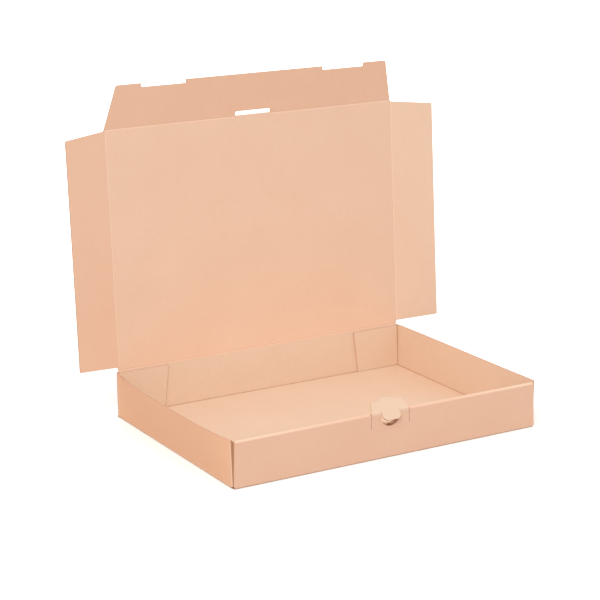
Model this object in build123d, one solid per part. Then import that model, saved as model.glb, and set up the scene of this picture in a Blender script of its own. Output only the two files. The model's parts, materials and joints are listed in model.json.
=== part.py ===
# A flat mailer box, die-cut from one sheet of corrugated board and folded up, with its lid
# standing open. All sizes are in millimetres. X runs along the front, Y from front to back and
# Z up, with the origin at the middle of the tray's underside.
# The one sheet is cut into separate solids only at the folds that still move: the lid's hinge,
# its two side flaps, its tuck flap, and the small lock tab at the middle of the front wall.

import os
from math import cos, radians, sin, sqrt

from build123d import *

# board
board = 1.5                 # thickness of the corrugated board
fold_inner = 0.4            # inside radius of a folded edge
layer_gap = 0.15            # between two layers that lie against each other
hinge_gap = 0.1             # between the two sides of a fold that moves
slide_gap = 0.3             # between a flap and the wall that it slides down inside

# overall sizes, over the outside of the walls
length = 352.0
width = 260.5
height = 52.2               # floor to the top of the shut lid

# tray
side_drop = 3.2             # tops of the side walls, below the top of the shut lid
front_drop = 4.4            # top of the front wall, below the top of the shut lid
rear_tab_drop = 4.0         # tops of the rear corner tabs, below the top of the shut lid
left_bow = 7.0              # how far the left wall leans out at its middle
right_bow = 1.0
bow_power = 4               # the lean stays even along the wall and dies away near its ends
relief_above_fold = 0.3     # the notch at each bottom corner, above the round of the fold
corner_leg = 1.0            # upright stretch of a side wall beside each corner fold
panel_inset = 0.8           # front and back walls end this far inside the side walls' faces
panel_taper = 1.2           # and this much further at the top of the front wall
roll_inset = 2.4            # ends of the rolled-over panel, inside the side walls' faces
rear_tab_top = 60.0         # length of a rear corner tab along its top edge
rear_tab_foot = 54.5        # and along the floor
front_tab_length = 56.0
tab_clearance = 0.3         # under the corner tabs and the rolled-over panel

# feet of the rolled-over panel, which stand in slots through the floor
foot_from_end = 43.0        # from the end of the box to a foot
foot_length = 50.0
foot_chamfer = 2.0
foot_recess = 0.3           # the feet end this far above the underside
foot_slot_clearance = 0.5

# lock tab at the middle of the front wall
lock_half_width = 22.0      # between the two cuts beside the lock
lock_cut = 0.4              # width of a die cut
lock_fold_drop = 0.6        # the fold that the lock tab turns on, below the front wall's top
lock_cut_length = 14.0      # from that fold down to where the two cuts end
lock_crease_drop = 17.5     # from the fold down to the crease that joins the cuts
crease_depth = 0.25
lock_reach = 12.0           # from the fold to the tab's shoulders
lock_dome = 3.3             # rise of the rounded end past the shoulders
lock_taper = 3.2            # how much each side slants in from the fold to the shoulders
lock_dome_half = 11.0       # half width of the rounded end
lock_corner = 2.0           # rounding of the shoulders
tongue_half_width = 10.4
tongue_length = 8.8
tongue_corner = 6.0
thumb_depth = 14.5          # from the fold down to the end of the rounded hole
lock_open = 52.0            # the tab's lean above level with the lid as shown, degrees

# lid and its flaps
lid_open = 93.0             # from shut, degrees
flap_clearance = 1.45       # from the shut lid's side flaps down to the floor
tuck_clearance = 3.3        # and from its tuck flap
flap_front_inset = 1.6      # from the lid's front fold to the root of a side flap
flap_rear_inset = 2.8       # from the hinge to the root of a side flap
flap_outer_inset = 6.3      # the same, at the flap's outer edge
flap_corner = 1.2
left_fold = 11.8            # how far each flap is folded in, degrees
right_fold = 18.5
tuck_fold = 14.5
tuck_root_inset = 0.25      # ends of the tuck flap's fold, inside those of the lid
tuck_taper = 11.0           # how much each end slants in from the fold to the free edge
tuck_corner = 2.0
nest_depth = 4.3            # notches left in the free edge where the next sheet's feet were cut
nest_clearance = 0.8
lock_slot_depth = 4.3       # slot along the tuck flap's fold, which the lock tab enters
lock_slot_clearance = 0.6
lock_slot_corner = 1.0

# cuts run this far past the surface that they open
past = 1.0

# places worked out from the sizes above
half_board = board / 2
fold_middle = fold_inner + half_board
fold_outer = fold_inner + board
side_height = height - side_drop
front_height = height - front_drop
rear_tab_height = height - rear_tab_drop
corner_relief = fold_outer + relief_above_fold
side_mid = length / 2 - half_board                  # middle of a side wall's thickness
back_mid = width / 2 - half_board
front_mid = -back_mid
tab_step = board + layer_gap
front_tab_mid = front_mid + tab_step
rear_tab_mid = back_mid - tab_step
roll_mid = front_tab_mid + tab_step                 # rolled-over panel
wall_reach = width / 2 - tab_step - fold_outer - corner_leg     # leaning part of a side wall
hinge_height = height - half_board
tuck_line = roll_mid + board + slide_gap            # the lid's front fold, with the lid shut
lid_depth = back_mid - tuck_line
flap_line = side_mid - board - slide_gap            # the fold of a side flap
plate_start = half_board + hinge_gap                # a moving panel starts this far from its fold
flap_height = hinge_height - board - flap_clearance             # of the lid's side flaps
tuck_height = hinge_height - board - tuck_clearance             # and of its tuck flap
foot_near = length / 2 - foot_from_end - foot_length
foot_middle = foot_near + foot_length / 2
lock_fold = front_height - lock_fold_drop           # height of the fold that the lock tab turns on
lock_root = lock_half_width - lock_cut              # half width of the lock tab at its fold
lock_shoulder = lock_root - lock_taper              # and at its shoulders


def bar(x0, x1, y0, y1, z0, z1):
    """A block between two corners."""
    return Pos((x0 + x1) / 2, (y0 + y1) / 2, (z0 + z1) / 2) * Box(x1 - x0, y1 - y0, z1 - z0)


def mirrored(shape):
    """A shape on the right together with its mirror image on the left."""
    return shape + mirror(shape, about=Plane.YZ)


def rounded_fold(x0, x1, y, z):
    """The round edge of board on the fixed side of a moving fold, along X."""
    return Pos((x0 + x1) / 2, y, z) * (Rot(0, 90, 0) * Cylinder(half_board, x1 - x0))


def bent_board(points):
    """The section of a piece of board that follows these points, with folds at the corners."""
    return trace(lines=FilletPolyline(*points, radius=fold_middle), line_width=board)


def plate(outline, middle, thickness=board):
    """A panel cut to an outline, half its thickness each side of the middle plane."""
    return middle * extrude(outline, amount=thickness / 2, both=True)


def front_back_band():
    """Back wall, floor, front wall and the panel rolled over it, bent from one band."""
    points = [
        (back_mid, hinge_height),
        (back_mid, half_board),
        (front_mid, half_board),
        (front_mid, front_height - half_board),
        (roll_mid, front_height - half_board),
        (roll_mid, board + tab_clearance),
    ]
    reach = length / 2 - panel_inset
    band = extrude(Plane.YZ * bent_board(points), amount=reach, both=True)
    band += rounded_fold(-flap_line, flap_line, back_mid, hinge_height)
    return band - mirrored(band_end_cuts())


def band_end_cuts():
    """What is cut from the right end of the band: the corner notches and the slanted ends."""
    outside = length
    notch = bar(length / 2 - fold_outer, outside, -width, width, -past, corner_relief)
    roll_end = bar(
        length / 2 - roll_inset, outside, front_mid + half_board, 0, corner_relief, height
    )
    top_corner = bar(flap_line, outside, 0, width, side_height, height + board)
    end = length / 2 - panel_inset
    slant = Polyline(
        (end, corner_relief), (end - panel_taper, front_height), (outside, front_height),
        (outside, corner_relief), close=True,
    )
    slanted_end = Plane.XZ * extrude(make_face(slant), amount=width)
    return notch + roll_end + top_corner + slanted_end


def foot(side):
    """One foot of the rolled-over panel, reaching down into its slot in the floor."""
    low = foot_recess
    high = board + tab_clearance + half_board
    x0, x1 = foot_near, foot_near + foot_length
    outline = Polyline(
        (x0, high), (x0, low + foot_chamfer / 2), (x0 + foot_chamfer, low),
        (x1 - foot_chamfer, low), (x1, low + foot_chamfer / 2), (x1, high), close=True,
    )
    right = plate(make_face(outline), Plane.XZ.offset(-roll_mid))
    return right if side > 0 else mirror(right, about=Plane.YZ)


def foot_slot(side):
    """The slot through the floor that a foot stands in."""
    reach = foot_length / 2 + foot_slot_clearance
    depth = half_board + foot_slot_clearance
    middle = side * foot_middle
    top = board + tab_clearance / 2
    return bar(middle - reach, middle + reach, roll_mid - depth, roll_mid + depth, -past, top)


def side_folds():
    """The folds that join the floor to the two side walls."""
    points = [
        (-side_mid, corner_relief), (-side_mid, half_board),
        (side_mid, half_board), (side_mid, corner_relief),
    ]
    return extrude(Plane.XZ * bent_board(points), amount=wall_reach, both=True)


def lean_at(bow, place):
    """How far the top of a side wall leans out, from 0 at its ends (place 1) to bow in its middle."""
    return bow * (1 - abs(place) ** bow_power)


def side_wall(side, bow):
    """A side wall, upright at its corners and leaning out along its middle."""
    tall = side_height - corner_relief
    sections = []
    for place in (-1, -0.85, -0.6, -0.3, 0, 0.3, 0.6, 0.85, 1):
        lean = lean_at(bow, place)
        top = corner_relief + sqrt(tall**2 - lean**2)
        inner, outer = side_mid - half_board, side_mid + half_board
        corners = [
            (side * inner, place * wall_reach, corner_relief),
            (side * outer, place * wall_reach, corner_relief),
            (side * (outer + lean), place * wall_reach, top),
            (side * (inner + lean), place * wall_reach, top),
        ]
        sections.append(Face(Wire.make_polygon([Vector(*c) for c in corners])))
    return Solid.make_loft([face.outer_wire() for face in sections])


def corner_fold(end, tab_mid):
    """The upright fold at the right end of the front or back wall, at end -1 or 1."""
    leg = side_mid - fold_outer
    points = [(side_mid, end * wall_reach), (side_mid, tab_mid), (leg, tab_mid)]
    section = bent_board(points)
    return Pos(0, 0, corner_relief) * extrude(section, amount=side_height - corner_relief)


def corner_tab(tab_mid, top, top_length, low_length):
    """The tab that a side wall turns in along the front or back wall, at the right."""
    root = length / 2 - fold_outer
    low = board + tab_clearance
    outline = Polyline(
        (root, low), (length / 2 - low_length, low),
        (length / 2 - top_length, top), (root, top), close=True,
    )
    return plate(make_face(outline), Plane.XZ.offset(-tab_mid))


def right_corners():
    """Both upright folds at the right, with their tabs."""
    front_top = front_height - board - layer_gap
    front_fold = corner_fold(-1, front_tab_mid)
    front_fold -= bar(
        0, length / 2 - fold_outer, front_mid, front_tab_mid + board, front_top, height
    )
    front_tab = corner_tab(front_tab_mid, front_top, front_tab_length, front_tab_length)
    rear_tab = corner_tab(rear_tab_mid, rear_tab_height, rear_tab_top, rear_tab_foot)
    return front_fold + front_tab + corner_fold(1, rear_tab_mid) + rear_tab


def lock_outline(reach, spread=0.0):
    """The lock tab's outline past its fold, from the middle of the fold outwards along Y."""
    root = lock_root + spread
    shoulder = lock_shoulder + spread
    dome = lock_dome_half + spread
    high = reach + spread
    sides = make_face(Polyline(
        (-root, 0), (-shoulder, high), (shoulder, high), (root, 0), close=True,
    ))
    sides = fillet(sides.vertices().sort_by(Axis.Y)[-2:], lock_corner)
    top = make_face([
        ThreePointArc((-dome, high - lock_corner), (0, high + lock_dome), (dome, high - lock_corner)),
        Line((dome, high - lock_corner), (-dome, high - lock_corner)),
    ])
    return sides + top


def tongue_outline(half_width, long, corner):
    """A tongue with rounded corners, from the fold downwards along Y."""
    shape = Pos(0, -long / 2) * Rectangle(2 * half_width, long)
    return fillet(shape.vertices().sort_by(Axis.Y)[:2], corner)


def lock_window():
    """What the lock tab leaves open in the rolled-over panel and along the top of the wall."""
    roll_length = roll_mid - front_mid
    hole = lock_outline(lock_reach - roll_length, lock_cut)
    low_part = Plane.XZ * extrude(
        Pos(0, lock_fold) * mirror(hole, about=Plane.XZ), amount=-front_mid
    )
    half = lock_half_width + lock_cut
    top_part = bar(-half, half, -width / 2 - past, 0, lock_fold, height)
    return (low_part & bar(-half, half, front_mid + half_board, 0, 0, height)) + top_part


def lock_cuts():
    """The two upright cuts, the crease under them and the rounded hole in the front panel."""
    face = -width / 2
    behind = front_mid + half_board + layer_gap
    near, far = lock_half_width, lock_half_width + lock_cut
    cuts = mirrored(bar(near, far, face - past, behind, lock_fold - lock_cut_length, height))
    crease_round = Rot(0, 90, 0) * Cylinder(crease_depth, 2 * near)
    crease = Pos(0, face, lock_fold - lock_crease_drop) * crease_round
    half = tongue_half_width + lock_cut
    shape = tongue_outline(half, thumb_depth + board, tongue_half_width)
    hole = Plane.XZ * extrude(Pos(0, lock_fold + board) * shape, amount=width)
    hole &= bar(-half, half, face - past, behind, 0, height)
    return cuts + crease + hole


def lock_posts():
    """The round upper edges of the front panel on each side of the tongue."""
    return mirrored(rounded_fold(
        tongue_half_width + lock_cut, lock_half_width, front_mid, lock_fold
    ))


def tray():
    """Floor and walls, with the corner tabs and the rolled-over front panel."""
    shape = front_back_band() + side_folds()
    shape += side_wall(-1, left_bow) + side_wall(1, right_bow)
    shape += mirrored(right_corners())
    shape -= foot_slot(-1) + foot_slot(1)
    shape += foot(-1) + foot(1)
    shape -= lock_window()
    shape -= lock_cuts()
    return shape + lock_posts()


def shut_lid():
    """The lid's panel as it lies when shut, with the round edges that its flaps turn on."""
    y0, y1 = tuck_line, back_mid - plate_start
    z0, z1 = hinge_height - half_board, hinge_height + half_board
    panel = bar(-flap_line, flap_line, y0, y1, z0, z1)
    panel += rounded_fold(-flap_line, flap_line, tuck_line, hinge_height)
    side_edge = Cylinder(half_board, y1 - y0)
    return panel + mirrored(Pos(flap_line, (y0 + y1) / 2, hinge_height) * (Rot(90, 0, 0) * side_edge))


def side_flap():
    """The right flap, flat in the plane of the shut lid."""
    root, outer = flap_line + plate_start, flap_line + flap_height
    front, rear = tuck_line, back_mid
    outline = make_face(Polyline(
        (root, front + flap_front_inset), (outer, front + flap_outer_inset),
        (outer, rear - flap_outer_inset), (root, rear - flap_rear_inset), close=True,
    ))
    outline = fillet(outline.vertices().sort_by(Axis.X)[-2:], flap_corner)
    return plate(outline, Plane.XY.offset(hinge_height))


def lock_slot():
    """The slot along the tuck flap's fold, as wide as the lock tab where it passes through."""
    along = (tuck_line - front_mid - half_board) / lock_reach
    half = lock_root - lock_taper * along + lock_slot_clearance
    deep = plate_start + lock_slot_depth
    shape = tongue_outline(half, deep, lock_slot_corner)
    return Pos(0, tuck_line) * shape


def shut_tuck_flap():
    """The tuck flap, flat in the plane of the shut lid."""
    root, free = tuck_line - plate_start, tuck_line - tuck_height
    wide = flap_line - tuck_root_inset
    outline = make_face(Polyline(
        (-wide, root), (-wide + tuck_taper, free), (wide - tuck_taper, free), (wide, root), close=True,
    ))
    outline = fillet(outline.vertices().sort_by(Axis.Y)[:2], tuck_corner)
    for side in (-1, 1):
        notch = Rectangle(foot_length + 2 * nest_clearance, 2 * nest_depth)
        outline -= Pos(side * foot_middle, free) * notch
    return plate(outline - lock_slot(), Plane.XY.offset(hinge_height))


def flat_lock_tab():
    """The lock tab and its tongue, upright in the plane of the front wall."""
    shoulders = lock_outline(lock_reach)
    fold_room = Pos(0, plate_start / 2) * Rectangle(2 * lock_half_width, plate_start)
    neck = Pos(0, plate_start / 2) * Rectangle(2 * tongue_half_width, plate_start)
    shape = (shoulders - fold_room) + neck
    shape += tongue_outline(tongue_half_width, tongue_length, tongue_corner)
    return plate(Pos(0, lock_fold) * shape, Plane.XZ.offset(-front_mid))


def opened(shape):
    """Swing a piece with the lid, from shut to where it stands open."""
    return shape.rotate(Axis((0, back_mid, hinge_height), (1, 0, 0)), -lid_open)


def lock_tilted(shape):
    """Lean the lock tab in from upright."""
    return shape.rotate(Axis((0, front_mid, lock_fold), (1, 0, 0)), lock_open - 90)


def left_flap():
    flat = mirror(side_flap(), about=Plane.YZ)
    return flat.rotate(Axis((-flap_line, 0, hinge_height), (0, 1, 0)), -left_fold)


def right_flap():
    return side_flap().rotate(Axis((flap_line, 0, hinge_height), (0, 1, 0)), right_fold)


def tuck_flap():
    return shut_tuck_flap().rotate(Axis((0, tuck_line, hinge_height), (1, 0, 0)), tuck_fold)


pieces = {
    "tray": tray(),
    "lid": opened(shut_lid()),
    "left_flap": opened(left_flap()),
    "right_flap": opened(right_flap()),
    "tuck_flap": opened(tuck_flap()),
    "lock_tab": lock_tilted(flat_lock_tab()),
}

os.makedirs("parts", exist_ok=True)
for name, shape in pieces.items():
    export_step(shape, f"parts/{name}.step")

# where the folds lie, in millimetres
lean = radians(lid_open)
print("lid hinge", 0, back_mid, hinge_height)
print("tuck fold", 0, back_mid - lid_depth * cos(lean), hinge_height + lid_depth * sin(lean))
print("side flap folds", flap_line, "along", 0, round(cos(lean), 6), round(-sin(lean), 6))
print("lock fold", 0, front_mid, lock_fold)
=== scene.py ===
# %% [markdown]
# # A mailer box in corrugated board
# The box is one die-cut sheet of thin corrugated board, folded up, with its lid standing open.
# Its true shape and its folds come from the imported frame. This lesson dresses that frame: paper
# on every face, the fluted core along every cut edge, and a bent crease at every fold that still
# moves. Every piece stays in the frame's own place, so the box keeps its real size.

import json
import math

import bmesh
import bpy
import numpy as np
from mathutils import Matrix, Vector
from mathutils.bvhtree import BVHTree
from mathutils.kdtree import KDTree

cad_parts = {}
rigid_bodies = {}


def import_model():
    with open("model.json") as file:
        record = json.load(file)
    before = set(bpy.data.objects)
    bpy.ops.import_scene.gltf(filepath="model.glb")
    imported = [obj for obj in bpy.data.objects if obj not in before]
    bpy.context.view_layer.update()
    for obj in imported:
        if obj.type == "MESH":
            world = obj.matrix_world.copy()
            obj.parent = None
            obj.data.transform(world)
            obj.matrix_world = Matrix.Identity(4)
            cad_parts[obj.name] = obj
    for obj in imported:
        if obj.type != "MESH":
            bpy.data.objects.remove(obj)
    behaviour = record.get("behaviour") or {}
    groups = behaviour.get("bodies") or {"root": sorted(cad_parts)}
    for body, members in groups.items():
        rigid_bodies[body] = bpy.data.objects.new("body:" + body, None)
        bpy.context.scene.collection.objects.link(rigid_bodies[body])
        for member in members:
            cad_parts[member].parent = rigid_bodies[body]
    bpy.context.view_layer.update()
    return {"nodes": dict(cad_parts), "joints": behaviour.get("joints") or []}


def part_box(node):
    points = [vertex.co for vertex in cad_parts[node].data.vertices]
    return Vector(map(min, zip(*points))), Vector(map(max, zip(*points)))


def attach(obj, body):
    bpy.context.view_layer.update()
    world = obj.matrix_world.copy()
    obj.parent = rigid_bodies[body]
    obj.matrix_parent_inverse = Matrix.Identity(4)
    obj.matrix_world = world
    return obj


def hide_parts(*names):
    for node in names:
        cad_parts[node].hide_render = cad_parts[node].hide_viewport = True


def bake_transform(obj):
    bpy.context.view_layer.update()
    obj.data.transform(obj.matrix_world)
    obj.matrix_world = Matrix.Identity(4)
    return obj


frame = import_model()
nodes = frame["nodes"]
print("nodes", sorted(nodes))

# %% [markdown]
# ## The board
# Real board of this kind is a sandwich. Two flat papers, the liners, are glued to a wavy paper
# between them, the fluting. The sandwich is 1.5 mm thick and its waves are a little over 3 mm
# apart. These few sizes drive everything that follows, so they come first. A step is an eighth of
# a wave, the channel is how deep one can look in at a cut, and the reach of a fold is half the
# width of the strip of board that bends there.

# %% Sizes of the board, in metres
board = 0.0015
liner = 0.00024
fluting_paper = 0.00017
flute_pitch = 0.0033
flute_step = flute_pitch / 8
channel_depth = 0.0007
fold_reach = 0.0018
lid_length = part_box("lid")[1].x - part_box("lid")[0].x
print("flutes in the length of the lid", round(lid_length / flute_pitch))

# %% [markdown]
# ## The camera
# The photograph was taken from the left front, a little above the box, with a long lens. A
# pinhole camera fitted to the corners of the box gives its place, its lens and its slight roll.
# The lens follows from the focal length in pixels.

# %% Place the camera
picture_pixels = 600
focal_pixels = 1913.8
sensor_width = 36.0
camera_place = Vector((-0.9663, -1.6386, 0.6369))
camera_target = Vector((-0.0262, 0.0, 0.1354))
camera_roll = math.radians(0.76)


def new_object(name, data):
    """An object that holds some data, linked into the scene."""
    made = bpy.data.objects.new(name, data)
    bpy.context.scene.collection.objects.link(made)
    return made


def aimed(name, data, place, target):
    """A camera or a lamp at one place, pointed at another."""
    made = new_object(name, data)
    made.rotation_mode = "QUATERNION"
    made.location = place
    made.rotation_quaternion = (target - place).to_track_quat("-Z", "Y")
    return made


def add_camera():
    """A camera at the photograph's place."""
    data = bpy.data.cameras.new("camera")
    data.sensor_width = sensor_width
    data.lens = sensor_width * focal_pixels / picture_pixels
    made = aimed("camera", data, camera_place, camera_target)
    roll = Matrix.Rotation(-camera_roll, 3, "Z").to_quaternion()
    made.rotation_quaternion = made.rotation_quaternion @ roll
    bpy.context.scene.camera = made
    return made


camera = add_camera()
print("lens", round(camera.data.lens, 1), "mm")

# %% [markdown]
# ## Where the folds are
# The frame's joints say where each moving fold lies and which way its line runs. What is missing
# is the direction in which each panel leaves its fold. A panel is a flat plate, so the middle of
# its points lies in its plane, and the way from the fold to that middle, square to the fold's
# line, is the panel's direction. The tray isn't flat, but both its moving folds sit on top of an
# upright wall, so there the direction is straight down.

# %% Read the folds from the joints
down = Vector((0, 0, -1))


def square_to(way, axis):
    """The part of a direction that is square to an axis, one long."""
    return (way - axis * way.dot(axis)).normalized()


def middle_of(node):
    """The middle of a node's points."""
    points = [v.co for v in nodes[node].data.vertices]
    return sum(points, Vector()) / len(points)


def read_fold(joint):
    """A fold: its place, its line, its two panels and the way that each leaves it."""
    place = Vector(joint["pos_m"])
    axis = Vector(joint["axis"]).normalized()
    fold = {"name": joint["name"].replace("_hinge", ""), "place": place, "axis": axis}
    for part in ("parent", "child"):
        node = fold[part] = joint[part]
        leaves = down if node == "tray" else square_to(middle_of(node) - place, axis)
        fold[part + "_way"] = leaves
    return fold


folds = [read_fold(joint) for joint in frame["joints"]]
for fold in folds:
    bend = math.degrees((-fold["parent_way"]).angle(fold["child_way"]))
    print(fold["name"], "is bent", round(bend, 1), "degrees from flat")

# %% [markdown]
# ## How far each fold runs
# A fold is only there where both panels are. The tuck flap's fold stops at the slot for the lock
# tab, and the lock tab's fold stops at the rounded hole in the middle. So a probe feels its way
# along each fold and asks, on both sides of it, whether there is board. The runs where it finds
# board on both sides are the fold's true spans.

# %% Feel along the folds
probe_step = 0.0001
probe_reach = 0.2


def solid_tree(node):
    """A search tree over a node's faces, for rays."""
    work = bmesh.new()
    work.from_mesh(nodes[node].data)
    tree = BVHTree.FromBMesh(work)
    work.free()
    return tree


trees = {node: solid_tree(node) for node in nodes}


def board_at(node, place, side):
    """True if a ray across a place meets board there."""
    return trees[node].ray_cast(place + side * board, -side, 2 * board)[0] is not None


def fold_spans(fold):
    """The runs along a fold where both its panels are, as pairs of distances from its place."""
    spans = []
    inside = False
    for k in range(int(2 * probe_reach / probe_step)):
        along = k * probe_step - probe_reach
        met = True
        for part in ("parent", "child"):
            way = fold[part + "_way"]
            place = fold["place"] + fold["axis"] * along + way * fold_reach
            met = met and board_at(fold[part], place, fold["axis"].cross(way))
        if met and not inside:
            spans.append([along, along])
        if met:
            spans[-1][1] = along
        inside = met
    return spans


for fold in folds:
    # the probe starts in the middle of the child's edge, so that long folds fit in its reach
    middle = middle_of(fold["child"]) - fold["place"]
    fold["place"] = fold["place"] + fold["axis"] * middle.dot(fold["axis"])
    fold["spans"] = fold_spans(fold)
    runs = [[round(1000 * end, 1) for end in span] for span in fold["spans"]]
    print(fold["name"], "runs", runs, "mm")

# %% [markdown]
# ## Front corners that lean open
# Nothing is glued, so the springy board pushes the tops of the side walls outwards at the front
# corners, by a little over a millimetre, and the left corner's seam opens upwards. Each side wall
# and its corner tab move together. The front is three boards thick: the front wall, the corner
# tabs, and the panel rolled over both, so a point's depth tells its layer. A flat wall can only
# curve where it has points to move, so planes first cut extra lines across it, a few millimetres
# apart. More planes cut a narrow band beside each inside corner, which takes painted shade later.
# The left side is -1, and the right side 1.

# %% Lean the front corners out
half_length = 0.176
tray_low, tray_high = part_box("tray")
half_width = tray_high.y
side_height = 0.049
corner_lean = {-1: 0.0014, 1: 0.0013}
lean_reach = 0.035
lean_step = 0.006
band_width = 0.0012
inside_fold = board + 0.0004
second_layer = (1.05 * board, 2.15 * board)
plane_gap = 1e-6
wall_slack = 1e-4


def plane_across(axis, distance):
    """A plane square to an axis (0 to 2 for X to Z): a point in it, and its direction."""
    way = Vector([float(k == axis) for k in range(3)])
    return way * distance, way


def behind_front(point):
    """How far a point lies behind the outer face of the front wall."""
    return half_width + point.y


def in_second_layer(depth):
    """True for a depth from the outside that lies in the second layer of board."""
    return second_layer[0] < depth < second_layer[1]


def on_front_tab(point):
    """True in the second layer from the front, the front corner tabs."""
    return in_second_layer(behind_front(point))


def in_side_wall(point):
    """True in a side wall, behind the front wall's own layer."""
    outside_of = half_length - inside_fold - wall_slack
    return abs(point.x) > outside_of and behind_front(point) > second_layer[0]


def help_lines():
    """Planes that cut extra lines: beside inside corners, and along the side walls to bend at."""
    planes = [plane_across(2, inside_fold + band_width)]
    for side in (-1, 1):
        planes.append(plane_across(0, side * (half_length - inside_fold - band_width)))
    for layers in (1, 2):
        planes.append(plane_across(1, half_width - (layers * inside_fold + band_width)))
    for k in range(1, math.ceil(2 * lean_reach / lean_step)):
        planes.append(plane_across(1, k * lean_step - half_width))
    return planes


def lean_corners(work):
    """Moves the side walls and their front tabs outwards near the front corners."""
    for place, way in help_lines():
        geometry = work.verts[:] + work.edges[:] + work.faces[:]
        cut = {"plane_co": place, "plane_no": way, "dist": plane_gap}
        bmesh.ops.bisect_plane(work, geom=geometry, **cut)
    moved = 0
    for v in work.verts:
        if in_side_wall(v.co) or on_front_tab(v.co):
            side = 1 if v.co.x > 0 else -1
            share = math.exp(-((behind_front(v.co) / lean_reach) ** 2)) * v.co.z / side_height
            v.co.x += side * corner_lean[side] * share
            moved += 1
    print("moved", moved, "points of the side walls")


print("the tray gets", len(help_lines()), "extra lines")

# %% [markdown]
# ## Working copies of the panels
# The frame's meshes are loose triangles and may not be changed. So each gets a copy whose equal
# points are merged. On a copy, a thin box takes away the strip of board next to each moving fold,
# on both sides of it. A crease strip, bent to the fold's present angle, will fill that strip later,
# so that the paper runs on from panel to panel. A boolean cut leaves exact flat ends for it to
# meet.

# %% Copy a node and cut its moving folds away
span_spare = 0.00015
merge_gap = 2e-6
box_half_height = 0.8 * board
box_quads = [(0, 1, 3, 2), (4, 6, 7, 5), (0, 4, 5, 1), (2, 3, 7, 6), (0, 2, 6, 4), (1, 5, 7, 3)]


def face_outwards(mesh):
    """Turns the faces of a closed mesh outwards."""
    work = bmesh.new()
    work.from_mesh(mesh)
    bmesh.ops.recalc_face_normals(work, faces=work.faces)
    work.to_mesh(mesh)
    work.free()


def fold_box(fold, way, span):
    """A box over the strip of board beside a fold, a little thicker than the board."""
    side = fold["axis"].cross(way).normalized()
    corners = []
    for along in (span[0] - span_spare, span[1] + span_spare):
        for out in (-fold_reach, fold_reach):
            for across in (-box_half_height, box_half_height):
                corners.append(fold["place"] + fold["axis"] * along + way * out + side * across)
    mesh = bpy.data.meshes.new("fold_box")
    mesh.from_pydata([tuple(c) for c in corners], [], box_quads)
    face_outwards(mesh)
    return new_object("fold_box", mesh)


def work_in(thing):
    """Works an object's modifiers into its mesh."""
    graph = bpy.context.evaluated_depsgraph_get()
    made = bpy.data.meshes.new_from_object(thing.evaluated_get(graph))
    thing.modifiers.clear()
    thing.data = made


def folds_of(node):
    """A node's moving folds, each with the way that the node leaves it."""
    sides = [(fold, part) for fold in folds for part in ("parent", "child")]
    return [(fold, fold[part + "_way"]) for fold, part in sides if fold[part] == node]


def working_copy(node):
    """A merged copy of a node, open at its moving folds."""
    mesh = nodes[node].data.copy()
    mesh.name = node + "_board"
    work = bmesh.new()
    work.from_mesh(mesh)
    bmesh.ops.remove_doubles(work, verts=work.verts, dist=merge_gap)
    if node == "tray":
        lean_corners(work)
    work.to_mesh(mesh)
    work.free()
    mesh.materials.clear()
    copy = new_object(node + "_board", mesh)
    boxes = []
    for fold, way in folds_of(node):
        boxes += [fold_box(fold, way, span) for span in fold["spans"]]
    for box in boxes:
        cut = copy.modifiers.new("cut", "BOOLEAN")
        cut.operation = "DIFFERENCE"
        cut.solver = "EXACT"
        cut.object = box
    work_in(copy)
    for box in boxes:
        bpy.data.objects.remove(box)
    return copy


boards = {node: working_copy(node) for node in sorted(nodes)}
for node, copy in boards.items():
    print(node, "has", len(copy.data.polygons), "faces")

# %% [markdown]
# ## Which faces are cut edges
# A die cut shows the inside of the sandwich, and a liner's face doesn't. The two are told apart
# as with calipers: from each face, a ray goes straight in. Where it comes out one board further
# on, the face is a liner. Where it doesn't, the face is a cut edge. That needs no list of faces,
# and works for bent board too. The flat ends that the boxes left at the moving folds aren't die
# cuts, so they are told apart by their place. Directions are compared by the cosine of the angle
# between them, and each cosine is named for its angle in degrees.

# %% Measure the board with calipers
cos_60, cos_45, cos_37, cos_26, cos_8 = 0.5, 0.7, 0.8, 0.9, 0.99
just_under = 2e-6
most_thickness = 1.15 * board
fold_gap = 1e-5


def is_liner(tree, face):
    """True if the board is as thick as board under a face."""
    start = face.calc_center_median() - face.normal * just_under
    hit, hit_normal, _, distance = tree.ray_cast(start, -face.normal, 2 * board)
    return hit is not None and distance < most_thickness and hit_normal.dot(face.normal) < -cos_37


def at_moving_fold(node, face):
    """True for the flat ends that the fold boxes left."""
    for fold, way in folds_of(node):
        off = (face.calc_center_median() - fold["place"]).dot(way) - fold_reach
        if abs(off) < fold_gap and abs(face.normal.dot(way)) > cos_8:
            return True
    return False


print("liners have up to", round(1000 * most_thickness, 2), "mm of board under them")

# %% [markdown]
# ## Where liner and cut meet
# Every cut edge has a border with a liner on both sides of the board. The two borders say the
# same thing twice, so only one is kept, on what is called the near side. Either will do, but it
# has to stay the same round a panel. So the search walks from border edge to border edge, and
# changes sides only straight across the board.

# %% Follow the borders
border_spacing = 0.2 * board
border_gap = 0.2 * board


def finder_of(samples):
    """A quick search for the nearest of some points."""
    finder = KDTree(len(samples))
    for number, sample in enumerate(samples):
        finder.insert(sample[0], number)
    finder.balance()
    return finder


def along_line(a, b, spacing):
    """Evenly spread points from a to b, both ends included."""
    count = max(2, math.ceil((b - a).length / spacing) + 1)
    return [a.lerp(b, k / (count - 1)) for k in range(count)]


def border_edges(node, work, liners):
    """The edges between a liner and a cut edge, each with both faces' normals."""
    found = []
    for edge in work.edges:
        faces = sorted(edge.link_faces, key=lambda face: liners[face.index])
        if len(faces) != 2 or liners[faces[0].index] or not liners[faces[1].index]:
            continue
        cut, flat = faces
        if abs(cut.normal.dot(flat.normal)) < cos_60 and not at_moving_fold(node, cut):
            found.append((edge, flat.normal.copy(), cut.normal.copy()))
    return found


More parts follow.
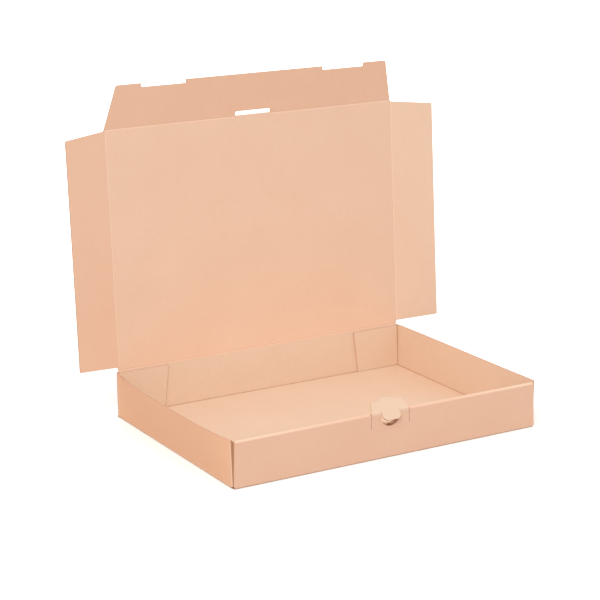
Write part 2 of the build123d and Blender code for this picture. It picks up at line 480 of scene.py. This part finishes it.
def opposite_edges(border):
    """For each border edge, the one straight across the board from its middle, or None."""
    samples = []
    for number, (edge, _, _) in enumerate(border):
        ends = [v.co for v in edge.verts]
        samples += [(point, number) for point in along_line(*ends, border_spacing)]
    finder = finder_of(samples)
    across = []
    for edge, over, _ in border:
        middle = (edge.verts[0].co + edge.verts[1].co) / 2
        _, k, distance = finder.find(middle - over * board)
        other = samples[k][1]
        meets = distance < border_gap and over.dot(border[other][1]) < -cos_45
        across.append(other if meets else None)
    return across


def near_side(border, across):
    """The border edges on one side of the sheet."""
    at_vertex = {}
    for number, (edge, _, _) in enumerate(border):
        for v in edge.verts:
            at_vertex.setdefault(v.index, []).append(number)
    side = {}
    for first in range(len(border)):
        if first in side:
            continue
        side[first] = 0
        stack = [first]
        while stack:
            here = stack.pop()
            steps = []
            for v in border[here][0].verts:
                for there in at_vertex[v.index]:
                    if border[here][1].dot(border[there][1]) > cos_60:
                        steps.append((there, side[here]))
            if across[here] is not None:
                steps.append((across[here], 1 - side[here]))
            for there, value in steps:
                if there not in side:
                    side[there] = value
                    stack.append(there)
    return [number for number in side if side[number] == 0 and across[number] is not None]


print("borders are matched to", round(1000 * border_gap, 1), "mm")

# %% [markdown]
# ## The middle line of the cuts
# Half a board in from the kept border runs the middle line of the cut edge. It comes in short
# pieces, each with two directions at its ends: across the board, and outward from the cut. The
# fluted core will be built on it, so the plain faces that it replaces are taken off the copy.

# %% Find the middle lines
cover_spacing = 0.3 * board
cover_reach = 0.7 * board


def rim_pieces(node, work, liners):
    """The middle line of the cut edges in short pieces: two ends, across and outward at each."""
    border = border_edges(node, work, liners)
    if not border:
        return []
    chosen = near_side(border, opposite_edges(border))
    over_at = {}
    for number in chosen:
        for v in border[number][0].verts:
            over_at[v.index] = over_at.get(v.index, Vector()) + border[number][1]
    pieces = []
    for number in chosen:
        edge, _, outward = border[number]
        ends = []
        for v in edge.verts:
            across = over_at[v.index].normalized()
            ends.append((v.co - across * board / 2, across, outward))
        pieces.append(ends)
    return pieces


def open_rims(node, copy):
    """Takes the cut edges' faces off a copy and gives the pieces of their middle lines."""
    work = bmesh.new()
    work.from_mesh(copy.data)
    bmesh.ops.triangulate(work, faces=work.faces)
    work.normal_update()
    for bits in (work.faces, work.edges, work.verts):
        bits.ensure_lookup_table()
        bits.index_update()
    tree = BVHTree.FromBMesh(work)
    liners = [is_liner(tree, face) for face in work.faces]
    pieces = rim_pieces(node, work, liners)
    samples = []
    for (a, _, outward), (b, _, _) in pieces:
        samples += [(point, outward) for point in along_line(a, b, cover_spacing)]
    finder = finder_of(samples)
    covered = []
    for face in work.faces:
        if liners[face.index] or at_moving_fold(node, face):
            continue
        _, k, distance = finder.find(face.calc_center_median())
        if samples and distance < cover_reach and samples[k][1].dot(face.normal) > cos_26:
            covered.append(face)
    left = liners.count(False) - len(covered)
    bmesh.ops.delete(work, geom=covered, context="FACES_ONLY")
    work.to_mesh(copy.data)
    work.free()
    length = round(1000 * sum((a[0] - b[0]).length for a, b in pieces))
    print(node, "cut edge", length, "mm in", len(pieces), "pieces;", left, "faces kept flat")
    return pieces


rims = {node: open_rims(node, copy) for node, copy in boards.items()}

# %% [markdown]
# ## Which way the flutes run
# The waves of the fluting run from left to right through the flat sheet, so a cut that runs from
# front to back crosses them and shows every wave, as along the tops of the side walls. To place
# the waves, and the faint ribs that they press into the liners, each point needs its place on the
# flat sheet: how far along the flutes it lies, and how far across them. On a panel both follow
# from the fold that carries it. On the folded tray they follow from the way that the face looks.

# %% Places on the flat sheet
across_sheet = {"lid", "tuck_flap", "lock_tab"}
floor_top = 1.1 * board
carrying_fold = {fold["child"]: fold for fold in folds}


def on_corner_tab(point):
    """True inside the second layer of board from the front or back of the tray."""
    return in_second_layer(tray_high.y - abs(point.y)) and point.z > floor_top


def sheet_place(node, point, over):
    """(along the flutes, across the flutes) of a point on the flat sheet, in metres."""
    if node != "tray":
        fold = carrying_fold[node]
        out = (point - fold["place"]).dot(fold["child_way"])
        line = (point - fold["place"]).dot(fold["axis"])
        return (line, out) if node in across_sheet else (out, line)
    if abs(over.z) > cos_45:
        return point.x, point.y
    if abs(over.x) > cos_45:
        return point.z, point.y
    return (point.z, point.x) if on_corner_tab(point) else (point.x, point.z)


def lay_out_sheet(node, mesh):
    """Writes the places on the flat sheet as a mesh's own UV map."""
    places = []
    for face in mesh.polygons:
        for corner in face.loop_indices:
            point = mesh.vertices[mesh.loops[corner].vertex_index].co
            places += sheet_place(node, point, face.normal)
    mesh.uv_layers.new(name="sheet").uv.foreach_set("vector", places)


for node, copy in boards.items():
    lay_out_sheet(node, copy.data)
print("flutes run along X through the lid, and upwards through the side walls")

# %% [markdown]
# ## Helpers for node trees
# These few helpers add a node, set its options and fill its inputs, from a number, a vector or
# another node's output. The trees below then read as lines that name what they add.

# %% Helpers for node trees
def fill(tree, node, inputs):
    """Gives a node's inputs, by name or number, a constant or a link from another node."""
    for name, value in inputs.items():
        if isinstance(value, bpy.types.NodeSocket):
            tree.links.new(value, node.inputs[name])
        elif value is not None:
            node.inputs[name].default_value = value


def add_node(tree, kind, inputs=None, **options):
    """Adds a node, sets its options and fills its inputs."""
    node = tree.nodes.new(kind)
    for name, value in options.items():
        setattr(node, name, value)
    fill(tree, node, inputs or {})
    return node


def sums(tree, operation, a, b=None, kind="ShaderNodeMath"):
    """The output of a math node."""
    return add_node(tree, kind, {0: a, 1: b}, operation=operation).outputs[0]


def times(tree, a, b):
    """Two values multiplied."""
    return sums(tree, "MULTIPLY", a, b)


def scaled(tree, vector, factor):
    """A vector times a number."""
    node = add_node(tree, "ShaderNodeVectorMath", {0: vector, "Scale": factor}, operation="SCALE")
    return node.outputs[0]


print("helpers for node trees are ready")

# %% [markdown]
# ## The cut edge as geometry
# Along a cut, the real board shows two thin paper lips with a shadowed channel between them, and
# the wavy fluting standing in the channel. It repeats along a path, so Geometry Nodes make it: a
# line of short edges goes in, with the directions across and outward on its points, and each part
# of the section is that line moved and drawn out. The wave is a sine of the place across the
# flutes, so it stays in step round corners, and a cut along the flutes shows one long tunnel, as
# it should. The part of each ribbon is kept as a tone: the fluting is a duller paper, and the
# lower tones of the fluting's sides, the walls and the channel are painted shade in the hollows.

# %% Build the tree for a cut edge
# how light each ribbon is; lower tones for the sides, walls and channel are painted shade
tones = {"lip": 1.0, "fluting": 0.9, "fluting_side": 0.8, "wall": 0.85, "channel": 0.6}
fluting_sunk = 0.15
given_sizes = ("Board", "Liner", "Fluting paper", "Channel depth", "Flute pitch", "Step")


def stored(tree, name, kind="FLOAT_VECTOR"):
    """The output of an attribute that is stored on the line's points."""
    inputs = {"Name": name}
    return add_node(tree, "GeometryNodeInputNamedAttribute", inputs, data_type=kind).outputs[0]


def cut_edge_tree():
    """Two liner lips, a channel and the fluting's wave, along lines with directions."""
    tree = bpy.data.node_groups.new("corrugated_cut_edge", "GeometryNodeTree")
    kinds = {"Geometry": "Geometry", **dict.fromkeys(given_sizes, "Float"), "Finish": "Material"}
    for name, kind in kinds.items():
        tree.interface.new_socket(name, in_out="INPUT", socket_type="NodeSocket" + kind)
    tree.interface.new_socket("Geometry", in_out="OUTPUT", socket_type="NodeSocketGeometry")
    given = add_node(tree, "NodeGroupInput").outputs

    # the lines, cut into even steps
    to_curve = add_node(tree, "GeometryNodeMeshToCurve", {"Mesh": given["Geometry"]})
    length = add_node(tree, "GeometryNodeSplineLength").outputs["Length"]
    steps = sums(tree, "CEIL", sums(tree, "DIVIDE", length, given["Step"]))
    sampled = {"Curve": to_curve.outputs[0], "Count": sums(tree, "ADD", steps, 1.0)}
    even = add_node(tree, "GeometryNodeResampleCurve", sampled, mode="COUNT")
    line = add_node(tree, "GeometryNodeCurveToMesh", {"Curve": even.outputs[0]}).outputs[0]

    # the directions and the wave
    across, outward = stored(tree, "across"), stored(tree, "outward")
    crossing = stored(tree, "crossing", "FLOAT")
    half = times(tree, given["Board"], 0.5)
    inner = sums(tree, "SUBTRACT", half, given["Liner"])
    half_paper = times(tree, given["Fluting paper"], 0.5)
    turns = sums(tree, "DIVIDE", crossing, given["Flute pitch"])
    wave = sums(tree, "SINE", times(tree, turns, math.tau))
    wave = times(tree, wave, sums(tree, "SUBTRACT", inner, half_paper))
    deep = times(tree, given["Channel depth"], -1.0)
    recess = times(tree, given["Channel depth"], -fluting_sunk)

    def moved(amount, sink=None):
        """An offset across the board, and outward if a second amount is given."""
        offset = scaled(tree, across, amount)
        if sink is None:
            return offset
        return sums(tree, "ADD", offset, scaled(tree, outward, sink), "ShaderNodeVectorMath")

    def ribbon(offset, drawn, facing, tone):
        """The line moved by an offset, drawn out into a ribbon that faces one way."""
        at = add_node(tree, "GeometryNodeSetPosition", {"Geometry": line, "Offset": offset})
        inputs = {"Mesh": at.outputs[0], "Offset": drawn, "Offset Scale": 1.0}
        out = add_node(tree, "GeometryNodeExtrudeMesh", inputs, mode="EDGES")
        inputs = {0: add_node(tree, "GeometryNodeInputNormal").outputs[0], 1: facing}
        dot = add_node(tree, "ShaderNodeVectorMath", inputs, operation="DOT_PRODUCT")
        inputs = {0: dot.outputs["Value"], 1: 0.0}
        behind = add_node(tree, "FunctionNodeCompare", inputs, operation="LESS_THAN")
        inputs = {"Mesh": out.outputs[0], "Selection": behind.outputs[0]}
        flip = add_node(tree, "GeometryNodeFlipFaces", inputs)
        inputs = {"Geometry": flip.outputs[0], "Name": "tone", "Value": tones[tone]}
        options = {"data_type": "FLOAT", "domain": "POINT"}
        return add_node(tree, "GeometryNodeStoreNamedAttribute", inputs, **options).outputs[0]

    minus_inner = times(tree, inner, -1.0)
    minus_half = times(tree, half, -1.0)
    inwards = scaled(tree, across, -1.0)
    drop = scaled(tree, outward, deep)
    liner_wide = given["Liner"]
    channel_wide = times(tree, inner, 2.0)
    paper_low = sums(tree, "SUBTRACT", wave, half_paper)
    paper_high = sums(tree, "ADD", wave, half_paper)
    paper_wide = given["Fluting paper"]
    ribbons = [
        ribbon(moved(inner), scaled(tree, across, liner_wide), outward, "lip"),
        ribbon(moved(minus_half), scaled(tree, across, liner_wide), outward, "lip"),
        ribbon(moved(inner), drop, inwards, "wall"),
        ribbon(moved(minus_inner), drop, across, "wall"),
        ribbon(moved(minus_inner, deep), scaled(tree, across, channel_wide), outward, "channel"),
        ribbon(moved(paper_low, recess), scaled(tree, across, paper_wide), outward, "fluting"),
        ribbon(moved(paper_low, recess), drop, inwards, "fluting_side"),
        ribbon(moved(paper_high, recess), drop, across, "fluting_side"),
    ]
    joined = add_node(tree, "GeometryNodeJoinGeometry")
    for made in ribbons:
        tree.links.new(made, joined.inputs[0])
    real = add_node(tree, "GeometryNodeRealizeInstances", {"Geometry": joined.outputs[0]})
    inputs = {"Geometry": real.outputs[0], "Material": given["Finish"]}
    finish = add_node(tree, "GeometryNodeSetMaterial", inputs)
    add_node(tree, "NodeGroupOutput", {0: finish.outputs[0]})
    return tree


edge_tree = cut_edge_tree()
print("the cut edge's tree has", len(edge_tree.nodes), "nodes")

# %% [markdown]
# ## Lay the fluting along the cuts
# The middle lines that the calipers found become a mesh of loose edges, with the directions on
# its points. The tree above then runs on it once for each panel, and the result is made a plain
# mesh that rides with the panel.

# %% Make the cut edges
def line_mesh(node, pieces):
    """Loose edges with the directions across and outward, and the place across the flutes."""
    ends = [end for piece in pieces for end in piece]
    mesh = bpy.data.meshes.new(node + "_cut_edge")
    edges = [(k, k + 1) for k in range(0, len(ends), 2)]
    mesh.from_pydata([tuple(end[0]) for end in ends], edges, [])
    for name, number in (("across", 1), ("outward", 2)):
        values = np.array([end[number] for end in ends], dtype=np.float32)
        kept = mesh.attributes.new(name, "FLOAT_VECTOR", "POINT")
        kept.data.foreach_set("vector", values.ravel())
    crossing = [sheet_place(node, end[0], end[1])[1] for end in ends]
    mesh.attributes.new("crossing", "FLOAT", "POINT").data.foreach_set("value", crossing)
    return mesh


def cut_edge_piece(node, finish):
    """The cut edge of one panel as a plain mesh object."""
    piece = new_object(node + "_cut_edge", line_mesh(node, rims[node]))
    run = piece.modifiers.new("cut_edge", "NODES")
    run.node_group = edge_tree
    sizes = (board, liner, fluting_paper, channel_depth, flute_pitch, flute_step)
    values = dict(zip(given_sizes, sizes), Finish=finish)
    for item in edge_tree.interface.items_tree:
        if item.in_out == "INPUT" and item.name in values:
            run[item.identifier] = values[item.name]
    work_in(piece)
    return piece


print("pieces of cut edge to build:", sum(len(pieces) for pieces in rims.values()))

# %% [markdown]
# ## Kraft paper
# The liners are plain, brownish kraft paper, a shade paler inside the box than outside, and how
# much paler differs from panel to panel as painted light: palest on the most lit panels, not at all
# on the shaded tuck flap. Close up it is a felt of fibres, mostly lying along the flutes, with soft
# clouds where the pulp lay thicker and a few darker specks. Rolled over the fluting, it also takes
# on faint ribs. The colours come from noise at three sizes, and the fibres from noise that is drawn
# out along the sheet. Where the paper is bent round a corner or at a crease its fibres part and
# look paler, with a painted highlight added, and the middle of a crease's pressed groove gets
# painted shade. The left wall's outside gets a deeper, more orange tone as painted shade, and the
# inside corners, the front corners' seams and the lock's hole are darkened with painted shade.
# Where all that happens is read from values that the next steps store on the mesh. Scales are in
# waves to the metre, and shares say how much each layer counts.

# %% Make the papers
kraft_light = (0.885, 0.56, 0.395, 1)
kraft_dark = (0.85, 0.51, 0.345, 1)
inside_light = (0.815, 0.61, 0.46, 1)
inside_dark = (0.78, 0.56, 0.405, 1)
tab_light = (0.80, 0.58, 0.42, 1)
tab_dark = (0.775, 0.54, 0.385, 1)
# paler stretched paper at bends with a painted highlight added, and painted shade for a groove
stretch_and_highlight_colour = (0.92, 0.68, 0.51, 1)
groove_shade_colour = (0.76, 0.44, 0.29, 1)
# painted shade: the dark tone for inside corners, the front corners' seams and the lock's hole
painted_shade_colour = (0.43, 0.185, 0.075, 1)
# painted shade: a deeper, more orange kraft for the left wall's outside
left_wall_shade_kraft = (0.93, 0.51, 0.305, 1)
# painted shade: the dark tone that a cut edge's hollows are darkened toward
hollow_shade_colour = (0.30, 0.115, 0.04, 1)
cloud_scale, patch_scale, fibre_scale = 14.0, 160.0, 2600.0
speck_scale, fuzz_scale = 700.0, 1800.0
fibre_stretch = (0.12, 1.0, 1.0)
cloud_share, patch_share, fibre_share = 0.45, 0.3, 0.25
left_wall_shade_share = 0.8
speck_dark, speck_share = 0.72, 0.3
stretch_and_highlight_bend, stretch_and_highlight_share = (0.1, 0.6), 0.5
groove_shade_bend, groove_shade_share = (0.7, 0.95), 0.6
paper_roughness = (0.82, 0.95)
rib_height, fibre_height = 0.5, 0.9
bump_depth = 0.00003


def named_value(tree, name):
    """The output of an attribute that is stored on the mesh."""
    return add_node(tree, "ShaderNodeAttribute", attribute_name=name).outputs["Fac"]


def noise(tree, place, scale, detail=2.0):
    """A noise value at a place."""
    inputs = {"Vector": place, "Scale": scale, "Detail": detail, "Roughness": 0.55}
    return add_node(tree, "ShaderNodeTexNoise", inputs).outputs["Fac"]


def spread(tree, value, low, high, to_low=0.0, to_high=1.0):
    """A value taken from one range to another, and held inside it."""
    inputs = {"Value": value, 1: low, 2: high, 3: to_low, 4: to_high}
    return add_node(tree, "ShaderNodeMapRange", inputs).outputs[0]


def blended(tree, share, a, b):
    """Two colours mixed."""
    return add_node(tree, "ShaderNodeMix", {0: share, 6: a, 7: b}, data_type="RGBA").outputs[2]


def weighted(tree, *parts):
    """The sum of some values, each times its share."""
    total = None
    for value, share in parts:
        part = times(tree, value, share)
        total = part if total is None else sums(tree, "ADD", total, part)
    return total


def new_finish(name, gloss):
    """A material, its tree, and its Principled shader with some gloss."""
    made = bpy.data.materials.new(name)
    made.use_nodes = True
    shader = made.node_tree.nodes["Principled BSDF"]
    fill(made.node_tree, shader, {"Specular IOR Level": gloss})
    return made, made.node_tree, shader


def kraft_paper(name, light, dark, inner_light, inner_dark):
    """Kraft liner: clouds, fibres, specks and faint ribs, with painted highlight and shade."""
    made, tree, shader = new_finish(name, gloss=0.25)
    place = add_node(tree, "ShaderNodeTexCoord").outputs["Object"]
    sheet = add_node(tree, "ShaderNodeUVMap", uv_map="sheet").outputs[0]
    stretched = {"Vector": sheet, "Scale": fibre_stretch}
    along = add_node(tree, "ShaderNodeMapping", stretched).outputs[0]
    clouds = noise(tree, place, cloud_scale, 3.0)
    patches = noise(tree, place, patch_scale, 3.0)
    fibres = noise(tree, along, fibre_scale, 2.0)
    specks = noise(tree, along, speck_scale, 1.0)
    tone = weighted(tree, (clouds, cloud_share), (patches, patch_share), (fibres, fibre_share))
    share = spread(tree, tone, 0.30, 0.70)
    outer = blended(tree, share, dark, light)
    # painted shade on the left wall's outside
    left_wall_shaded = times(tree, named_value(tree, "warm"), left_wall_shade_share)
    outer = blended(tree, left_wall_shaded, outer, left_wall_shade_kraft)
    # the paler inside liner, its level from panel to panel partly painted light
    inner = blended(tree, share, inner_dark, inner_light)
    paper = blended(tree, named_value(tree, "inside"), outer, inner)
    speck_tint = tuple(speck_dark * value for value in dark[:3]) + (1,)
    paper = blended(tree, spread(tree, specks, 0.72, 0.82, 0.0, speck_share), paper, speck_tint)
    # pale where the paper stretches, with a painted highlight, and painted shade mid-groove
    bend = named_value(tree, "crease")
    paper = blended(tree, spread(tree, bend, *stretch_and_highlight_bend, 0.0, stretch_and_highlight_share), paper, stretch_and_highlight_colour)
    paper = blended(tree, spread(tree, bend, *groove_shade_bend, 0.0, groove_shade_share), paper, groove_shade_colour)
    # painted shade in the inside corners, the front corners' seams and the lock's hole
    paper = blended(tree, named_value(tree, "brown"), paper, painted_shade_colour)
    rough = spread(tree, patches, 0.3, 0.7, *paper_roughness)
    crossing = add_node(tree, "ShaderNodeSeparateXYZ", {0: sheet}).outputs[1]
    ribs = sums(tree, "SINE", times(tree, crossing, math.tau / flute_pitch))
    height = weighted(tree, (ribs, rib_height), (fibres, fibre_height))
    relief = {"Height": height, "Strength": 0.5, "Distance": bump_depth}
    bump = add_node(tree, "ShaderNodeBump", relief).outputs[0]
    fill(tree, shader, {"Base Color": paper, "Roughness": rough, "Normal": bump})
    return made


def cut_paper(name, light):
    """The cut edge: bright lips, duller fluting, painted shade in the depths, by the points' tone.
    """
    made, tree, shader = new_finish(name, gloss=0.15)
    place = add_node(tree, "ShaderNodeTexCoord").outputs["Object"]
    fuzz = spread(tree, noise(tree, place, fuzz_scale), 0.3, 0.7, -0.1, 0.1)
    tone = sums(tree, "ADD", named_value(tree, "tone"), fuzz)
    paper = blended(tree, spread(tree, tone, 0.0, 1.0), hollow_shade_colour, light)
    fill(tree, shader, {"Base Color": paper, "Roughness": 0.95})
    return made


kraft = kraft_paper("kraft_liner", kraft_light, kraft_dark, inside_light, inside_dark)
tab_kraft = kraft_paper("tab_liner", tab_light, tab_dark, tab_light, tab_dark)
cut_kraft = cut_paper("cut_board", kraft_light)
print("papers", kraft.name, tab_kraft.name, cut_kraft.name)

# %% [markdown]
# ## Which face is which
# The paper's colour follows from what each face is: the inside or the outside liner, the rounded
# part of a corner, the second layer that shows in a front corner's seam, or the third layer that
# shows through the lock's hole. The seam and the hole, and the inside corners, take painted shade.
# Each is known by its place and its direction. Round a corner the board turns in several narrow
# faces, at a small angle each.

# %% Tell the faces apart
turn_width = 0.35 * board
least_turn, most_turn = math.radians(4), math.radians(50)
third_layer = (2.0 * board, 2.5 * board)
past_tabs = 2.2 * board
rolled_depth = 4 * board
lock_reach = 0.014
wall_bulge = 0.0005


def narrow(face, width):
    """True for a face that is narrower than a width."""
    return face.calc_area() / max(side.calc_length() for side in face.edges) < width


def turning_faces(work):
    """The narrow faces that turn round a fold: those of outside corners, and of inside ones."""
    outside, inside = set(), set()
    for edge in work.edges:
        bend = edge.calc_face_angle_signed(0.0)
        if len(edge.link_faces) == 2 and least_turn < abs(bend) < most_turn:
            found = {face.index for face in edge.link_faces if narrow(face, turn_width)}
            (outside if bend > 0 else inside).update(found)
    return outside, inside - outside


def is_inside(node, point, over):
    """True on the liner that faces into the shut box. The rolled-over panel shows the outer one."""
    if node != "tray":
        return over.y < 0
    rolled_over = point.y < tray_low.y + rolled_depth and over.y > cos_60
    return over.dot(Vector((0, 0, tray_high.z)) - point) > 0 and not rolled_over


def in_seam(node, face):
    """True for a front corner tab's face that the front wall all but hides; it takes painted shade.
    """
    on_tab = on_front_tab(face.calc_center_median())
    return node == "tray" and on_tab and face.normal.y < -cos_45


def behind_lock(node, face):
    """True for the third layer's face in the lock's hole, which takes painted shade."""
    middle = face.calc_center_median()
    shows = abs(middle.x) < lock_reach and face.normal.y < -cos_45
    return node == "tray" and shows and third_layer[0] < behind_front(middle) < third_layer[1]


def is_warm(node, face):
    """True on the outer face of the left wall, which takes a painted shade."""
    at_left = face.center.x < -half_length + wall_bulge
    return node == "tray" and face.normal.x < -cos_45 and at_left


print("faces narrower than", round(1000 * turn_width, 2), "mm turn round the corners")

# %% [markdown]
# ## Colours that follow the folds
# Four values are stored on each face's corners, for the papers to read. "inside" is how pale the
# inside liner is: the tray's is paler than the lid's, and the levels from panel to panel are partly
# painted light. "crease" is how far the paper is stretched round an outside corner, which also
# paints a highlight there. The third value is painted shade: strongest in the left front corner's
# seam and behind the lock's hole, less along the inside corners, and least in the right seam. The
# fourth is 1 on the left wall's outside, where a deeper, more orange tone is painted as shade.

# %% Store the colours' values
# how much paler each panel's inside liner is: partly a paler paper, partly painted light
inner_paper_and_painted_light = {"tray": 1.0, "lock_tab": 1.0, "right_flap": 0.6, "lid": 0.4, "left_flap": 0.1}
inner_paper_and_painted_light["tuck_flap"] = 0.0
# paler stretched paper round outside corners, which also paints a highlight there
corner_stretch_and_highlight = 0.6
# painted shade: along inside corners, in the front corners' seams, and behind the lock's hole
corner_shade = 0.55
seam_shade = {-1: 0.85, 1: 0.2}
lock_shade = 0.9
beside_width = 0.55 * band_width


def store(mesh, name, values):
    """Stores one value for each corner of each face."""
    mesh.attributes.new(name, "FLOAT", "CORNER").data.foreach_set("value", values)


def painted_shade_at(node, face, v, inside, corner_points):
    """How much painted shade a face gets at one of its points."""
    if in_seam(node, face):
        return seam_shade[1 if v.co.x > 0 else -1]
    if behind_lock(node, face):
        return lock_shade
    beside = narrow(face, beside_width) and v.index in corner_points
    return corner_shade * (face.index in inside or beside)


def mark_folds(node, mesh):
    """Stores the stretch and painted highlight of outside corners, and the painted shade inside."""
    work = bmesh.new()
    work.from_mesh(mesh)
    work.normal_update()
    outside, turned = turning_faces(work)
    corner_points, inside = set(), set()
    for face in work.faces:
        middle = face.calc_center_median()
        in_tray = behind_front(middle) > past_tabs and is_inside(node, middle, face.normal)
        if face.index in turned and in_tray:
            inside.add(face.index)
            corner_points.update(v.index for v in face.verts)
    bends, shade_values = [], []
    for face in work.faces:
        bends += [corner_stretch_and_highlight * (face.index in outside)] * len(face.verts)
        shade_values += [painted_shade_at(node, face, v, inside, corner_points) for v in face.verts]
    work.free()
    store(mesh, "crease", bends)
    store(mesh, "brown", shade_values)
    return len(outside), len(inside)


def store_by_face(mesh, name, value_of):
    """Stores one value for each face."""
    values = []
    for face in mesh.polygons:
        values += [value_of(face)] * face.loop_total
    store(mesh, name, values)


def mark_inside(node, mesh):
    """Stores how pale the inside liner is, partly painted light, and 0 on the outside one."""
    pale = inner_paper_and_painted_light[node]
    store_by_face(mesh, "inside", lambda face: pale * is_inside(node, face.center, face.normal))


print("the inside liner is palest in", max(inner_paper_and_painted_light, key=inner_paper_and_painted_light.get))

# %% [markdown]
# ## Dress the panels
# Each working copy stands in for its node and takes the paper. The lock tab has a kraft of its own,
# less red than the outside liner. Each panel's cut edge rides with it. A small block of board fills
# the notch at the bottom of each rear corner, so that the corner shows shade instead of the floor
# beyond.

# %% Put the papers on
paper_of = {"lock_tab": tab_kraft}
plug_place = Vector((half_length - 0.0007, half_width - 0.00185, 0.0012))
plug_size = Vector((0.0018, 0.0018, 0.0019))


def plug_notches(mesh):
    """Fills the notch at the bottom of each rear corner, so it shows shade, not the floor."""
    work = bmesh.new()
    work.from_mesh(mesh)
    for side in (-1, 1):
        place = Vector((side * plug_place.x, plug_place.y, plug_place.z))
        bmesh.ops.create_cube(work, size=1.0, matrix=Matrix.LocRotScale(place, None, plug_size))
    work.to_mesh(mesh)
    work.free()


plug_notches(boards["tray"].data)
for node, copy in boards.items():
    turns = mark_folds(node, copy.data)
    mark_inside(node, copy.data)
    store_by_face(copy.data, "warm", lambda face: float(is_warm(node, face)))
    copy.data.materials.clear()
    copy.data.materials.append(paper_of.get(node, kraft))
    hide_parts(node)
    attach(copy, node)
    edge = cut_edge_piece(node, cut_kraft)
    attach(edge, node)
    print(node, "corner faces outside and inside", turns, "cut edge", len(edge.data.polygons))

# %% [markdown]
# ## Bent creases
# At a moving fold the board is creased: pressed thin along a line, so that it bends there. Each
# crease is a short strip of board that fills the gap in the working copies. The groove is on the
# side that the press struck.

# %% Make the bending strips
crease_rows = 16
groove_depth = 0.00022
groove_width = 0.0006


def smooth_step(t):
    """0 to 1 with no jump in slope at either end."""
    return t * t * (3 - 2 * t)


def strip_section(fold):
    """The closed section of a crease: its rows on both liners, with each row's distance."""
    out = -fold["parent_way"]
    over = fold["axis"].cross(out).normalized()
    full = math.atan2(fold["axis"].dot(out.cross(fold["child_way"])), out.dot(fold["child_way"]))
    upper, lower = [], []
    for k in range(crease_rows + 1):
        distance = fold_reach * (2 * k / crease_rows - 1)
        turn = Matrix.Rotation(full * smooth_step(k / crease_rows), 3, fold["axis"])
        groove = groove_depth * math.exp(-((distance / groove_width) ** 2))
        upper.append((turn @ (out * distance + over * (board / 2 - groove)), distance))
        lower.append((turn @ (out * distance - over * board / 2), distance))
    return upper + lower[::-1]


def crease_piece(fold, number, span):
    """One bending strip between two panels."""
    section = strip_section(fold)
    rows = len(section)
    points = []
    for along in span:
        points += [fold["place"] + fold["axis"] * along + offset for offset, _ in section]
    faces = [(k, (k + 1) % rows, (k + 1) % rows + rows, k + rows) for k in range(rows)]
    half = rows // 2
    for base in (0, rows):
        for k in range(half - 1):
            faces.append((base + k, base + k + 1, base + rows - 2 - k, base + rows - 1 - k))
    name = fold["name"] + "_crease_" + str(number)
    mesh = bpy.data.meshes.new(name)
    mesh.from_pydata([tuple(p) for p in points], [], faces)
    face_outwards(mesh)
    places, bends = [], []
    for loop in mesh.loops:
        end, row = divmod(loop.vertex_index, rows)
        along, distance = span[end], section[row][1]
        places += (along, distance) if fold["child"] in across_sheet else (distance, along)
        # this value paints a pale highlight band beside the groove and shade in its middle
        bends.append(math.exp(-((distance / (2 * groove_width)) ** 2)))
    mesh.uv_layers.new(name="sheet").uv.foreach_set("vector", places)
    store(mesh, "crease", bends)
    mark_inside(fold["child"], mesh)
    mesh.materials.append(paper_of.get(fold["child"], kraft))
    piece = new_object(name, mesh)
    end = fold["place"] + fold["child_way"] * fold_reach
    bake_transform(piece)
    return piece


creases = []
for fold in folds:
    creases += [crease_piece(fold, k + 1, span) for k, span in enumerate(fold["spans"])]
print("creases", [piece.name for piece in creases])

# %% [markdown]
# ## Floor and light
# A plain white floor, and soft light from every side with a broad lamp above the front left. The
# floor is a shade whiter to the camera than it is to the light that bounces from it, and away
# from the box it begins to glow to the camera. So the background is white while the box keeps its
# own soft shadow. The strengths of sky and lamp were found by rendering each alone, and mixing
# the pictures until the tones of the panels agreed with the photograph.

# %% Set the stage
floor_reach = 8.0
floor_bounce = (0.5, 0.5, 0.5, 1)
floor_seen = (1.12, 1.12, 1.12, 1)
sky_light = 0.89
key_place = Vector((-2.98, -3.31, 4.11))
key_power = 144.0
key_size = 3.0
key_target = Vector((0, 0, 0.1))
white = (1, 1, 1, 1)
fade_start = 0.22
fade_end = 0.95


def seen_directly(tree):
    """1 for rays that show a thing to the camera, straight or in gloss or glass."""
    path = add_node(tree, "ShaderNodeLightPath").outputs
    seen = sums(tree, "MAXIMUM", path["Is Camera Ray"], path["Is Glossy Ray"])
    return sums(tree, "MAXIMUM", seen, path["Is Transmission Ray"])


def add_floor():
    """A wide white floor that keeps the shadow."""
    mesh = bpy.data.meshes.new("floor")
    ways = ((-1, -1), (1, -1), (1, 1), (-1, 1))
    corners = [(floor_reach * x, floor_reach * y, 0) for x, y in ways]
    mesh.from_pydata(corners, [], [(0, 1, 2, 3)])
    finish, tree, shader = new_finish("floor_white", gloss=0.0)
    seen = seen_directly(tree)
    colour = blended(tree, seen, floor_bounce, floor_seen)
    place = add_node(tree, "ShaderNodeTexCoord").outputs["Object"]
    far = add_node(tree, "ShaderNodeVectorMath", {0: place}, operation="LENGTH")
    fade = spread(tree, far.outputs["Value"], fade_start, fade_end)
    glow = {"Emission Color": white, "Emission Strength": times(tree, seen, fade)}
    fill(tree, shader, {"Base Color": colour, "Roughness": 1.0, **glow})
    mesh.materials.append(finish)
    made = new_object("floor", mesh)
    return made


def add_sky():
    """Even white light all round, and plain white behind everything."""
    world = bpy.data.worlds.new("studio")
    bpy.context.scene.world = world
    world.use_nodes = True
    tree = world.node_tree
    strength = spread(tree, seen_directly(tree), 0.0, 1.0, sky_light, 1.0)
    fill(tree, tree.nodes["Background"], {"Color": white, "Strength": strength})
    return world


def add_key():
    """A broad soft lamp."""
    data = bpy.data.lights.new("key", "AREA")
    data.size = key_size
    data.energy = key_power
    return aimed("key", data, key_place, key_target)


floor = add_floor()
studio = add_sky()
key = add_key()
bpy.context.scene.view_settings.view_transform = "Standard"
print(floor.name, "lit by", studio.name, "and", key.name)
